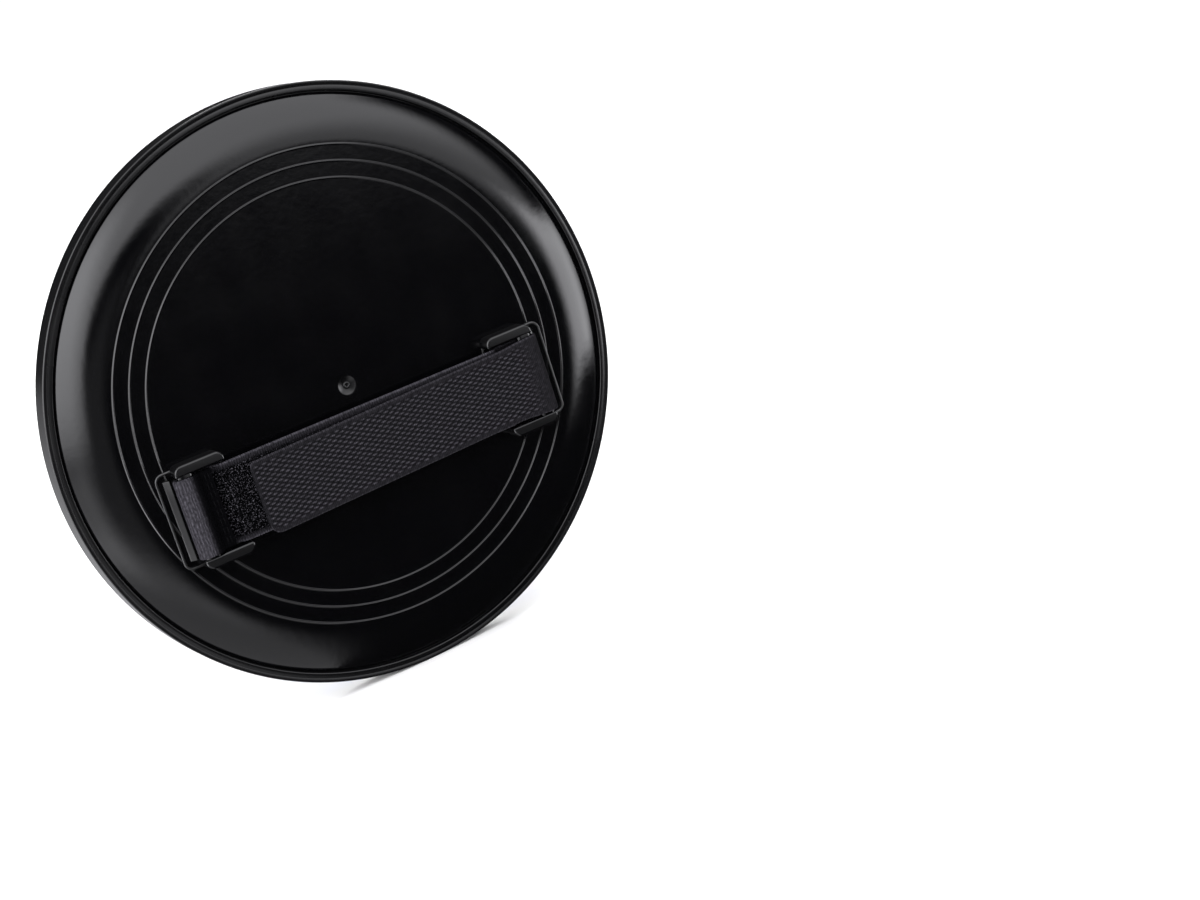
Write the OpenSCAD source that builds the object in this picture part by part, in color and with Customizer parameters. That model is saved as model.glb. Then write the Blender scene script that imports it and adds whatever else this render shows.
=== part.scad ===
// Catch paddle: a moulded dish with hook tape panels in front and a hand strap behind.
// Millimetres. The disc's axis is Y: the strap is on the +Y side, the catching face on the -Y side, and Z is up.
// The origin is the centre of the flat back of the dish.

/* [Dish] */
// Outside diameter of the dish
outer_d = 192; // [170:1:220]
// Depth from the flat back to the front of the lip
dish_depth = 14.5; // [12:0.5:17]
// Thickness of the dish's flat floor
floor_t = 2.2; // [1.6:0.1:3]
// Diameter of the flat floor inside the dish
floor_d = 159; // [150:1:162]
// Distance from the floor's edge in to where the shoulder starts to fall away on the back
shoulder_inset = 3; // [1:0.5:5]

/* [Rim] */
// Height of the rim, from the front of the lip to its flat back
rim_h = 9.5; // [8:0.5:10.5]
// Width of the rim's flat back
rim_w = 3.2; // [2.4:0.1:3.6]
// Rounding of the edges of the rim's back
rim_edge_r = 0.4; // [0.3:0.1:0.6]
// Step from the end of the shoulder up to the rim's flat back
rim_step = 0.9; // [0.7:0.1:1.2]
// Width of the crease between the shoulder and the rim
crease_w = 0.6; // [0.4:0.1:1]
// Depth of the crease below the end of the shoulder
crease_depth = 0.5; // [0.3:0.1:0.8]
// Width of the rounded lip, from its groove to the outside
lip_w = 3.9; // [3.6:0.1:4.4]
// Height of the lip above its groove
lip_h = 1; // [0.6:0.1:1.2]
// Radius of the lip's outer edge
lip_edge_r = 1.2; // [0.8:0.1:2]
// Width and depth of the groove at the foot of the lip
groove_w = 0.7; // [0.4:0.1:1]

/* [Back lines] */
// Step in radius from one line to the next, inwards from the edge of the flat back
line_step = 5.25; // [4:0.05:5.3]
// Number of raised lines
line_count = 3; // [1:1:3]
// Width of a raised line at its foot
line_w = 1; // [0.6:0.1:1.6]
// Height of a raised line
line_h = 0.4; // [0.2:0.1:0.8]
// Diameter of the moulding gate's dimple
gate_d = 6; // [4:0.5:8]
// Depth of the gate's dimple
gate_depth = 0.6; // [0.3:0.1:1]
// Diameter of the nub left by the gate
nub_d = 2.2; // [1.4:0.1:3]
// Height of the nub above the dimple's floor
nub_h = 0.45; // [0.2:0.05:0.5]
// Diameter of the small hole in the nub
nub_hole_d = 0.8; // [0.4:0.1:1]

/* [Strap keepers] */
// Distance of the strap's centreline below the disc's axis
strap_drop = 19.5; // [16:0.5:20]
// Distance between the two bars
bar_span = 121.6; // [116:0.2:122]
// Width of a bar
bar_w = 5; // [4:0.1:5.4]
// Thickness of a bar
bar_t = 2.6; // [2:0.1:3]
// Height of a bar's middle above the flat back
bar_h = 4.6; // [4.4:0.1:4.7]
// Height of the ears that carry a bar
ear_h = 6; // [5.9:0.1:6.9]
// Thickness of an ear
ear_t = 3.5; // [3:0.1:4]
// Rounding of an ear's outer corners, seen from behind
ear_r = 2.6; // [1:0.1:2.8]
// Reach of an ear past the bar's middle, away from the hand
ear_out = 3.1; // [2.7:0.1:3.6]
// Reach of an ear from the bar's middle towards the hand
ear_in = 13.6; // [12:0.1:14]
// Reach of the keeper's low frame past the bar's middle, away from the hand
frame_out = 8.5; // [8:0.1:8.6]
// Distance from an ear's outer face in to the low frame's edge
frame_side = 1.1; // [0.5:0.1:1.5]
// Height of the low frame
frame_h = 0.7; // [0.5:0.1:1]
// Width of the low frame's edge
frame_w = 0.9; // [0.7:0.1:1.2]
// Rounding of the low frame's outer corners
frame_r = 2.8; // [1.5:0.1:4]
// Height of the sill at the window's outer end
sill_h = 1.8; // [1.2:0.1:2.4]
// Thickness of the sill
sill_t = 1.4; // [1:0.1:1.5]
// Reach of the sill's outer face past the bar's middle
sill_out = 5.6; // [5.5:0.1:6]
// Margin between the window and the ears' inner faces
window_margin = 0.4; // [0.2:0.1:1]

/* [Hand strap] */
// Width of the loop tape
tape_w = 26; // [20:0.5:28]
// Thickness of the loop tape, pile included
tape_t = 1.6; // [1.2:0.1:1.8]
// Clearance between the tape's edge and an ear
tape_side_gap = 0.6; // [0.4:0.1:1]
// Clearance between the tape and a bar
tape_bar_gap = 0.1; // [0.1:0.05:0.2]
// Height of the tape's underside above the flat back, between the keepers
hand_gap = 4.3; // [4.2:0.1:4.4]
// Bend radius where the tape dips to a bar, at the tape's middle
dip_r = 3; // [2:0.1:4]
// Length of the sewn end flap that lies on the tape
flap_l = 3.6; // [3:0.1:4]
// Bend radius where the flap meets the tape, at the tape's middle
flap_r = 1.4; // [1.2:0.1:1.6]
// Gap between the flap and the tape below it
flap_gap = 0.05; // [0.05:0.05:0.1]

/* [Hook tab] */
// Width of the hook tape
tab_w = 24.5; // [18:0.5:26]
// Thickness of the hook tape
tab_t = 1.3; // [1:0.1:1.4]
// Length of the tab from its lap line to the free end
tab_l = 95; // [70:1:100]
// Distance from the bar's middle to the lap line
lap_reach = 6.8; // [6:0.1:7.5]
// Rounding of the free end's corners
tab_r = 4; // [1:0.5:8]
// Turn of the tab in the strap's plane, in degrees
tab_skew = 1.4; // [0:0.1:1.8]
// Diameter of the sewn bead along the lap line
lap_bead_d = 0.8; // [0.6:0.1:1]
// Clearance between the bead and the loop tape's tail
lap_gap = 0.3; // [0.2:0.1:0.5]

/* [Hook panels] */
// Clearance between the catching face and the foot of the sloping wall
panel_edge_gap = 1; // [0.5:0.1:3]
// Thickness of a panel with its hooks
panel_t = 1.8; // [1.4:0.1:2.4]
// Thickness of the bare selvage
selvage_t = 0.7; // [0.5:0.1:0.8]
// Width of the lap where the lower panel covers the upper one
lap_w = 3; // [2:0.1:4]
// Height of the lapping edge above the disc's axis
lap_edge = 4; // [0:0.5:10]
// Gap between the two panels
panel_gap = 0.1; // [0.1:0.05:0.3]
// Thickness of the adhesive film
film_t = 0.3; // [0.2:0.05:0.5]

/* [Stitches] */
// Length of a stitch
stitch_l = 2.2; // [1.5:0.1:2.6]
// Pitch of the stitches
stitch_pitch = 3; // [2.8:0.1:4]
// Diameter of the sewing thread
thread_d = 0.6; // [0.4:0.1:0.8]
// Rows of stitches across the strap's sewn end
stitch_rows = 2; // [1:1:2]
// Distance of the seam's stitches from the lapping edge
seam_inset = 2.2; // [1.4:0.1:2.4]

/* [Hidden] */
$fn = 96;
black_abs = "#17181a";
black_tape = "#232326";
tab_black = "#2b2b2e";
hook_orange = "#f4511f";
hook_blue = "#3a93d8";
film_dark = "#2a2a2c";
past = 1;
outer_r = outer_d / 2;
floor_r = floor_d / 2;
plateau_r = floor_r - shoulder_inset;
lip_y = -dish_depth;
rim_back_y = lip_y + rim_h;
rim_in_r = outer_r - rim_w;
lip_in_r = outer_r - lip_w;
lip_foot_y = lip_y + lip_h;
cone_r = lip_in_r - groove_w;
shoulder_run = rim_in_r - crease_w - plateau_r;
shoulder_drop = rim_step - rim_back_y;
shoulder_r = (shoulder_run * shoulder_run + shoulder_drop * shoulder_drop) / (2 * shoulder_drop);
shoulder_end = asin((shoulder_r - shoulder_drop) / shoulder_r);
ear_gap = tape_w + 2 * tape_side_gap;
keeper_w = ear_gap + 2 * ear_t;
frame_half = keeper_w / 2 - frame_side;
bar_end = (bar_w - bar_t) / 2;
bar_x = bar_span / 2;
window_w = ear_gap - 2 * window_margin;
window_in = ear_in - 2 * frame_w;
window_out = sill_out - sill_t;
wrap_r = (bar_t + tape_t) / 2 + tape_bar_gap;
over_y = bar_h + wrap_r;
under_y = bar_h - wrap_r;
span_y = hand_gap + tape_t / 2;
dip_turn = acos(1 - (span_y - under_y) / (2 * dip_r));
flap_y = under_y + tape_t + flap_gap;
flap_turn = acos(1 - (over_y - flap_y) / (wrap_r + flap_r));
flap_x = bar_x - bar_end - (wrap_r + flap_r) * sin(flap_turn);
dip_x = flap_x - flap_l - flap_gap;
lap_x = -bar_x + lap_reach;
lap_y = over_y + tab_t / 2;
tail_x = lap_x - lap_bead_d / 2 - lap_gap;
film_y = -floor_t - film_t;
panel_y = film_y - panel_t;
panel_r = floor_r - panel_edge_gap;
lap_foot = lap_edge - lap_w;
seam_y = film_y - 2 * selvage_t - panel_gap;
seam_z = lap_edge - seam_inset;
seam_reach = sqrt(panel_r * panel_r - lap_edge * lap_edge) - stitch_pitch;
arc_steps = 10;

// Points on an arc about a centre, from one angle to another
function arc_points(centre, r, from, to) =
    [for (i = [0:arc_steps]) let (a = from + (to - from) * i / arc_steps) centre + r * [cos(a), sin(a)]];

// Points moved a set distance to the left of the way they run
function shifted(points, distance) =
    [for (i = [0:len(points) - 1])
        let (way = points[min(i + 1, len(points) - 1)] - points[max(i - 1, 0)])
        points[i] + distance * [-way[1], way[0]] / norm(way)];

function reversed(points) = [for (i = [len(points) - 1:-1:0]) points[i]];

// Turns a shape drawn about Z so that its Z runs along the disc's axis, out of the back
module on_disc_axis() {
    rotate([-90, 0, 0]) children();
}

// Rectangle between two corners, with round corners
module rounded_rectangle(low, high, r) {
    size = high - low;
    translate(low + [r, 0]) square([size[0] - 2 * r, size[1]]);
    translate(low + [0, r]) square([size[0], size[1] - 2 * r]);
    for (x = [low[0] + r, high[0] - r], y = [low[1] + r, high[1] - r])
        translate([x, y]) circle(r);
}

// Half section of the dish: floor, sloping wall, grooved lip, rim, crease and shoulder
module dish_profile() {
    polygon(concat(
        [[0, 0], [0, -floor_t], [floor_r, -floor_t], [cone_r, lip_foot_y]],
        [[cone_r + groove_w / 2, lip_foot_y + groove_w]],
        arc_points([lip_in_r + lip_h, lip_foot_y], lip_h, 180, 270),
        arc_points([outer_r - lip_edge_r, lip_y + lip_edge_r], lip_edge_r, 270, 360),
        arc_points([outer_r - rim_edge_r, rim_back_y - rim_edge_r], rim_edge_r, 0, 90),
        arc_points([rim_in_r + rim_edge_r, rim_back_y - rim_edge_r], rim_edge_r, 90, 180),
        [[rim_in_r - crease_w / 2, -shoulder_drop - crease_depth]],
        arc_points([plateau_r, -shoulder_r], shoulder_r, shoulder_end, 90)
    ));
}

// Raised lines on the flat back
module back_lines() {
    for (i = [0:line_count - 1])
        rotate_extrude() translate([plateau_r - line_w / 2 - i * line_step, 0])
            polygon([[-line_w / 2, -floor_t / 2], [line_w / 2, -floor_t / 2],
                [line_w / 2, 0], [line_w / 4, line_h], [-line_w / 4, line_h], [-line_w / 2, 0]]);
}

// Places a keeper's parts about the middle of its bar: x away from the hand, y across the strap, z out of the back
module at_keepers() {
    for (side = [0, 1])
        mirror([side, 0, 0]) translate([bar_x, strap_drop, 0]) children();
}

// Outline of a keeper's low frame, drawn in from its edge by an inset
module frame_outline(inset) {
    rounded_rectangle([inset - ear_in, inset - frame_half],
        [frame_out - inset, frame_half - inset], frame_r - inset);
}

// Outline of an ear seen from behind, from its inner face out to its two rounded corners
module ear_outline() {
    polygon(concat(
        [[-ear_in, 0], [ear_out, 0]],
        arc_points([ear_out - ear_r, ear_t - ear_r], ear_r, 0, 90),
        arc_points([ear_r - ear_in, ear_t - ear_r], ear_r, 90, 180)
    ));
}

// Low frame, two ears, the bar between them and the sill outside the bar
module keeper() {
    difference() {
        translate([0, 0, -floor_t / 2]) linear_extrude(floor_t / 2 + frame_h) frame_outline(0);
        translate([0, 0, -floor_t]) linear_extrude(2 * floor_t + frame_h) frame_outline(frame_w);
    }
    for (side = [0, 1])
        mirror([0, side, 0]) translate([0, ear_gap / 2, -floor_t / 2])
            linear_extrude(floor_t / 2 + ear_h) ear_outline();
    translate([0, keeper_w / 2 - ear_t / 2, bar_h]) rotate([90, 0, 0]) linear_extrude(keeper_w - ear_t) {
        square([2 * bar_end, bar_t], center = true);
        for (end = [-1, 1]) translate([end * bar_end, 0]) circle(d = bar_t);
    }
    translate([window_out, -window_w / 2, -floor_t / 2]) cube([sill_t, window_w, floor_t / 2 + sill_h]);
}

module keeper_window() {
    translate([0, 0, -floor_t - past]) linear_extrude(floor_t + past + frame_h)
        translate([-window_in, -window_w / 2]) square([window_in + window_out, window_w]);
}

// One moulding: the dish with its lines and gate mark, and both strap keepers
module shell() {
    color(black_abs) on_disc_axis() {
        difference() {
            union() {
                rotate_extrude() dish_profile();
                difference() {
                    back_lines();
                    at_keepers() translate([0, 0, -floor_t]) linear_extrude(2 * floor_t) frame_outline(0);
                }
                at_keepers() keeper();
            }
            at_keepers() keeper_window();
            translate([0, 0, -gate_depth]) cylinder(d = gate_d, h = gate_depth + past);
        }
        difference() {
            translate([0, 0, -floor_t / 2]) cylinder(d = nub_d, h = floor_t / 2 - gate_depth + nub_h);
            translate([0, 0, -gate_depth]) cylinder(d = nub_hole_d, h = gate_depth);
        }
    }
}

// Slice of the catching face: a disc cut between two heights, from one depth to another
module face_slice(r, low, high, back_y, front_y) {
    translate([0, back_y, 0]) rotate([90, 0, 0]) linear_extrude(back_y - front_y) intersection() {
        circle(r);
        translate([-outer_r, low]) square([outer_d, high - low]);
    }
}

module film_upper() {
    color(film_dark) face_slice(panel_r, lap_foot, outer_r, -floor_t, film_y);
}

module film_lower() {
    color(film_dark) face_slice(panel_r, -outer_r, lap_foot - panel_gap, -floor_t, film_y);
}

// Hooks stop short of the lap, where the thin selvage goes under the lower panel
module panel_upper() {
    color(hook_orange) {
        face_slice(panel_r, lap_edge + panel_gap, outer_r, film_y, panel_y);
        face_slice(panel_r, lap_foot, lap_edge + 2 * panel_gap, film_y, film_y - selvage_t);
    }
}

// The selvage at the top laps over the upper panel
module panel_lower() {
    lap_back_y = film_y - selvage_t - panel_gap;
    color(hook_blue) {
        face_slice(panel_r, -outer_r, lap_foot - panel_gap, film_y, panel_y);
        face_slice(panel_r, lap_foot - 2 * panel_gap, lap_edge, lap_back_y, lap_back_y - selvage_t);
    }
}

// One stitch along X, lying on a face and standing out in Z
module stitch() {
    translate([-stitch_l / 2, 0, 0]) rotate([90, 0, 90]) linear_extrude(stitch_l) intersection() {
        circle(d = thread_d);
        translate([0, thread_d / 2]) square(thread_d, center = true);
    }
}

// Sewn line that holds the lap of the two panels
module seam_stitches() {
    seam_count = floor(2 * seam_reach / stitch_pitch);
    color(hook_blue)
        for (i = [0:seam_count])
            translate([(i - seam_count / 2) * stitch_pitch, seam_y, seam_z]) rotate([90, 0, 0]) stitch();
}

// The loop tape's middle line, from the sewn flap round one bar, across the hand and round the other bar
function strap_dip(x) = concat(
    arc_points([x, under_y + dip_r], dip_r, -90, -90 - dip_turn),
    arc_points([x - 2 * dip_r * sin(dip_turn), span_y - dip_r], dip_r, 90 - dip_turn, 90)
);
function mirrored_x(points) = [for (p = points) [-p[0], p[1]]];
strap_line = concat(
    [[flap_x - flap_l, flap_y]],
    arc_points([flap_x, flap_y + flap_r], flap_r, -90, flap_turn - 90),
    arc_points([bar_x - bar_end, bar_h], wrap_r, 90 + flap_turn, 90),
    arc_points([bar_x + bar_end, bar_h], wrap_r, 90, -90),
    strap_dip(dip_x),
    mirrored_x(reversed(strap_dip(dip_x))),
    arc_points([-bar_x - bar_end, bar_h], wrap_r, 270, 90),
    [[tail_x, over_y]]
);

module loop_strap() {
    color(black_tape)
        translate([0, 0, -strap_drop - tape_w / 2]) linear_extrude(tape_w)
            polygon(concat(shifted(strap_line, tape_t / 2), reversed(shifted(strap_line, -tape_t / 2))));
}

// Rows of stitches through the flap and the tape below it
module strap_stitches() {
    stitch_count = floor((tape_w - stitch_pitch) / stitch_pitch);
    row_step = flap_l / (stitch_rows + 1);
    color(tab_black)
        for (row = [1:stitch_rows], i = [0:stitch_count])
            translate([flap_x - row * row_step, flap_y + tape_t / 2,
                (i - stitch_count / 2) * stitch_pitch - strap_drop])
                rotate([-90, 0, 0]) rotate([0, 0, 90]) stitch();
}

// Outline of the tab seen from behind: square at the lap line, with a rounded free end
function tab_outline() =
    let (w = tab_w / 2, fall = -tan(tab_skew), end = tab_l - tab_r, drop = fall * tab_l)
    concat([[0, w], [0, -w]],
        arc_points([end, drop - w + tab_r], tab_r, 270, 360),
        arc_points([end, drop + w - tab_r], tab_r, 0, 90));

// Hook tape tab: it peels up about the bead on its upper face, so that it folds back clear of the tail
module hook_tab() {
    color(tab_black) translate([lap_x, lap_y, -strap_drop]) {
        rotate([90, 0, 0]) linear_extrude(tab_t) polygon(tab_outline());
        cylinder(d = lap_bead_d, h = tab_w, center = true);
    }
}

shell();
film_upper();
film_lower();
panel_upper();
panel_lower();
seam_stitches();
loop_strap();
strap_stitches();
hook_tab();
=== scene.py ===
import bpy
import numpy as np
from mathutils import Matrix


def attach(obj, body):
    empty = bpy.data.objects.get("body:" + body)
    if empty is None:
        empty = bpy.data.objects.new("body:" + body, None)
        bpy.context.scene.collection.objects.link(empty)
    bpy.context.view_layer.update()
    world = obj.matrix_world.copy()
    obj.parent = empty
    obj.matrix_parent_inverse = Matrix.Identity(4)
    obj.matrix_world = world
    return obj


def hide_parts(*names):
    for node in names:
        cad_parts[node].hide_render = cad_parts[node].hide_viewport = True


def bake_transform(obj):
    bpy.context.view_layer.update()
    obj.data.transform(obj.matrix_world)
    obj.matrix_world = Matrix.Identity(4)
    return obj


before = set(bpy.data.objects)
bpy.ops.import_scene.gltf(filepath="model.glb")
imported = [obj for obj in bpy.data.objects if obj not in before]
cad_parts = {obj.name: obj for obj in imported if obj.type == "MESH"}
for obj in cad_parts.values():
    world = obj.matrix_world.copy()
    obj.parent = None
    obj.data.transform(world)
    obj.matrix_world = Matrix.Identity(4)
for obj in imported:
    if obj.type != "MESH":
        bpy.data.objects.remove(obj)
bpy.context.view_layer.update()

# The dish: one injection moulding in black ABS, with a flat back, three raised lines, a gate mark, a round
# shoulder and a rim behind a fine crease, whose lip stands forward of the catching face. Its surface is one
# section, turned about the disc's axis, with a window cut through the floor under each strap bar.
MM = 0.001
# Sizes are in millimetres and turns in degrees; the points of a section are (radius, y).
STRAP_Z = -19.5
OUTER_R = 96.0
FLOOR_R = 79.5
FLOOR_Y = -2.2
FLOOR_FILLET = np.array([[1.6, -1.2], [0.6, -0.42], [-0.5, -0.06], [-1.6, 0]])
FRONT_RING_R = 40
BACK_RINGS_R = (12, 24, 36, 48, 58)
PLATEAU_R = 76.5
SHOULDER_R = 23.84
SHOULDER_TURN = (89, 49)
RIM_BACK_Y = -5.0
RIM_IN_R = 92.8
RIM_EDGE_R = 0.4
RIM_LINE_R = 94.5
RIM_LINE = np.array([[-0.2, 0], [-0.1, -0.06], [0.1, -0.06], [0.2, 0]])
EDGE_FLAT = 0.06
CREASE = np.array([[-0.6, -5.95], [-0.42, -6.4], [-0.18, -6.4], [-0.02, -6.1]])
LIP_Y = -14.5
LIP_FOOT_Y = -13.5
LIP_IN_R = 92.1
LIP_EDGE_R = 1.2
LIP_GROOVE = np.array([[-0.28, 0.7], [-0.6, 0.2], [-0.85, 0.1]])
GATE_R = 3.3
GATE_EDGE_R = 3.14
GATE_BOWL_R = 3.05
GATE_BOWL_RUN = (1.2, 3.0)
GATE_BOWL_D = 0.62
# The gate's nub is a ring of round section (radius, y, roundness) about a small pit.
GATE_NUB = (0.76, -0.5, 0.36)
GATE_PIT = (0.36, -0.6)
LINE_R = 76.0
LINE_STEP = 5.25
LINE_W = 0.8
LINE_H = 0.36
LINE_FOOT = 0.62
KEEPER_X = (60.8, -60.8)
WINDOW_FROM_BAR = (-11.8, 4.2)
WINDOW_HALF = 13.2
CUT_PAST = 1
TURN_STEPS = 300
SHARP_TURN = 35.0


def arc(x, y, radius, start, end, steps=10):
    """Points at equal steps on a circle about (x, y), from one angle to another in degrees."""
    turn = np.radians(np.linspace(start, end, steps))
    return np.column_stack([x + radius * np.cos(turn), y + radius * np.sin(turn)])


def raised_line(middle):
    """Section of a raised line: one wave of a cosine as wide as the line, with a flat beside each foot."""
    across = np.linspace(-0.5, 0.5, 11)
    wave = np.column_stack([middle + across * LINE_W, LINE_H / 2 * (1 + np.cos(2 * np.pi * across))])
    return np.concatenate([[[middle - LINE_FOOT * LINE_W, 0]], wave, [[middle + LINE_FOOT * LINE_W, 0]]])


def grid_faces(rows, columns, close_rows=False, close_columns=False):
    """Corner numbers of a grid's four-sided faces; a closed way joins its last line to its first."""
    row = np.arange(rows if close_rows else rows - 1)[:, None]
    column = np.arange(columns if close_columns else columns - 1)[None, :]
    next_row, next_column = (row + 1) % rows, (column + 1) % columns
    corners = [row * columns + column, row * columns + next_column,
               next_row * columns + next_column, next_row * columns + column]
    return np.stack(corners, axis=-1).reshape(-1, 4)


def turned(section, steps):
    """Carries a section of (radius, y) points, whose two ends lie on the axis, round the disc's axis Y."""
    turn = np.linspace(0, 2 * np.pi, steps, endpoint=False)[:, None]
    radius, y = section[1:-1, 0], section[1:-1, 1]
    count = len(y)
    y = np.broadcast_to(y, (steps, count))
    wall = np.stack([radius * np.cos(turn), y, radius * np.sin(turn)], axis=-1)
    poles = [[0, section[0, 1], 0], [0, section[-1, 1], 0]]
    first = np.arange(steps) * count
    following = np.roll(first, -1)
    last = count - 1
    back_pole = np.column_stack([np.full(steps, steps * count), following, first])
    front_pole = np.column_stack([np.full(steps, steps * count + 1), first + last, following + last])
    faces = grid_faces(steps, count, close_rows=True)[:, ::-1]
    faces = faces.tolist() + back_pole.tolist() + front_pole.tolist()
    return np.concatenate([wall.reshape(-1, 3), poles]), faces


def new_piece(name, points, faces, material, crease=SHARP_TURN):
    """A mesh at the origin from points in millimetres; edges that turn by more than crease stay sharp."""
    mesh = bpy.data.meshes.new(name)
    mesh.from_pydata((points * MM).tolist(), [], faces)
    mesh.polygons.foreach_set("use_smooth", np.ones(len(mesh.polygons), bool))
    mesh.set_sharp_from_angle(angle=np.radians(crease))
    mesh.materials.append(material)
    piece = bpy.data.objects.new(name, mesh)
    bpy.context.scene.collection.objects.link(piece)
    return piece


def linear(code):
    """An sRGB hex colour as linear red, green and blue, with an alpha of 1."""
    srgb = np.array([int(code[i:i + 2], 16) for i in (1, 3, 5)]) / 255
    rgb = np.where(srgb <= 0.04045, srgb / 12.92, ((srgb + 0.055) / 1.055) ** 2.4)
    return (*rgb.tolist(), 1.0)


def new_material(name, **sockets):
    """A material with its Principled shader's sockets set: gives it, its node tree and the shader."""
    made = bpy.data.materials.new(name)
    made.use_nodes = True
    shader = made.node_tree.nodes["Principled BSDF"]
    for socket, value in sockets.items():
        shader.inputs[socket.replace("_", " ")].default_value = value
    return made, made.node_tree, shader


def add(tree, kind, inputs, **settings):
    """Adds a node with its settings; each input takes a value, or another node's output as a link."""
    made = tree.nodes.new(kind)
    for name, value in settings.items():
        setattr(made, name, value)
    for name, value in inputs.items():
        if isinstance(value, bpy.types.NodeSocket):
            tree.links.new(value, made.inputs[name])
        else:
            made.inputs[name].default_value = value
    return made


def box_points(low, high):
    """The eight corners of a box and its six faces, pointing outwards."""
    x, y, z = np.meshgrid(*zip(low, high), indexing="ij")
    faces = [[0, 1, 3, 2], [4, 6, 7, 5], [0, 4, 5, 1], [2, 3, 7, 6], [0, 2, 6, 4], [1, 5, 7, 3]]
    return np.column_stack([x.ravel(), y.ravel(), z.ravel()]), faces


# Black ABS from a polished mould: a deep black that mirrors the lights softly, with faint waves, a fine
# unevenness that ruffles the edges of reflections, and duller patches of wear. The rim's back and the gate
# are satin, while the rim's outer wall is polished again.
GLOSS_WAVE_MM = 30
RUFFLE_MM = 2.5
WEAR_MM = 14
SATIN_ROUGHER = 0.14
SATIN_FADE = 0.4
WALL_FADE = (0.15, 0.35)
gloss_abs, tree, shader = new_material("gloss_black_abs", Base_Color=linear("#030304"), IOR=1.53)
place = add(tree, "ShaderNodeTexCoord", {}).outputs["Object"]
wear = add(tree, "ShaderNodeTexNoise", {"Vector": place, "Scale": 1 / (WEAR_MM * MM), "Detail": 5.0})
gloss = add(tree, "ShaderNodeMapRange", {"Value": wear.outputs["Fac"], "To Min": 0.06, "To Max": 0.2})
off_axis = add(tree, "ShaderNodeVectorMath", {0: place, 1: (1.0, 0.0, 1.0)}, operation="MULTIPLY")
radius = add(tree, "ShaderNodeVectorMath", {0: off_axis.outputs["Vector"]}, operation="LENGTH")
radius = radius.outputs["Value"]
on_rim = add(tree, "ShaderNodeMapRange", {
    "Value": radius, "From Min": (RIM_IN_R - SATIN_FADE) * MM, "From Max": RIM_IN_R * MM,
    "To Max": SATIN_ROUGHER})
off_wall = add(tree, "ShaderNodeMapRange", {
    "Value": radius, "From Min": (OUTER_R - WALL_FADE[0]) * MM, "From Max": (OUTER_R - WALL_FADE[1]) * MM})
in_gate = add(tree, "ShaderNodeMapRange", {
    "Value": radius, "From Min": GATE_R * MM, "From Max": (GATE_R - SATIN_FADE) * MM,
    "To Max": SATIN_ROUGHER})
rim_back = add(tree, "ShaderNodeMath", {0: on_rim.outputs["Result"], 1: off_wall.outputs["Result"]},
               operation="MULTIPLY")
worn = add(tree, "ShaderNodeMath", {0: gloss.outputs["Result"], 1: in_gate.outputs["Result"]},
           operation="ADD")
roughness = add(tree, "ShaderNodeMath", {0: worn.outputs["Value"], 1: rim_back.outputs["Value"]},
                operation="ADD")
tree.links.new(roughness.outputs["Value"], shader.inputs["Roughness"])
wave = add(tree, "ShaderNodeTexNoise", {"Vector": place, "Scale": 1 / (GLOSS_WAVE_MM * MM), "Detail": 2.0})
waves = add(tree, "ShaderNodeBump", {"Height": wave.outputs["Fac"], "Strength": 0.02, "Distance": 0.004})
ruffle = add(tree, "ShaderNodeTexNoise", {"Vector": place, "Scale": 1 / (RUFFLE_MM * MM), "Detail": 3.0})
relief = add(tree, "ShaderNodeBump", {"Height": ruffle.outputs["Fac"], "Strength": 0.06, "Distance": 0.0004,
                                      "Normal": waves.outputs["Normal"]})
tree.links.new(relief.outputs["Normal"], shader.inputs["Normal"])

bowl_r = np.linspace(*GATE_BOWL_RUN, 10)
gate_mark = np.concatenate([
    [[0, GATE_PIT[1]], GATE_PIT],
    arc(*GATE_NUB, 180, 0),
    np.column_stack([bowl_r, -GATE_BOWL_D * (1 - (bowl_r / GATE_BOWL_R) ** 2)]),
    [[GATE_EDGE_R, 0], [GATE_R, 0]]])
section = np.concatenate([
    gate_mark,
    [[ring_r, 0] for ring_r in BACK_RINGS_R],
    *[raised_line(LINE_R - steps_in * LINE_STEP) for steps_in in (2, 1, 0)],
    arc(PLATEAU_R, -SHOULDER_R, SHOULDER_R, *SHOULDER_TURN, 48),
    CREASE + [RIM_IN_R, 0],
    arc(RIM_IN_R + RIM_EDGE_R, RIM_BACK_Y - RIM_EDGE_R, RIM_EDGE_R, 180, 90, 8),
    [[RIM_IN_R + RIM_EDGE_R + EDGE_FLAT, RIM_BACK_Y]],
    RIM_LINE + [RIM_LINE_R, RIM_BACK_Y],
    [[OUTER_R - RIM_EDGE_R - EDGE_FLAT, RIM_BACK_Y]],
    arc(OUTER_R - RIM_EDGE_R, RIM_BACK_Y - RIM_EDGE_R, RIM_EDGE_R, 90, 0, 8),
    [[OUTER_R, RIM_BACK_Y - RIM_EDGE_R - EDGE_FLAT], [OUTER_R, LIP_Y + LIP_EDGE_R + EDGE_FLAT]],
    arc(OUTER_R - LIP_EDGE_R, LIP_Y + LIP_EDGE_R, LIP_EDGE_R, 0, -90, 12),
    arc(LIP_IN_R + LIP_FOOT_Y - LIP_Y, LIP_FOOT_Y, LIP_FOOT_Y - LIP_Y, -90, -175, 8),
    LIP_GROOVE + [LIP_IN_R, LIP_FOOT_Y],
    FLOOR_FILLET + [FLOOR_R, FLOOR_Y],
    [[FRONT_RING_R, FLOOR_Y], [0, FLOOR_Y]]])
dish = new_piece("dish", *turned(section, TURN_STEPS), gloss_abs)
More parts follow.
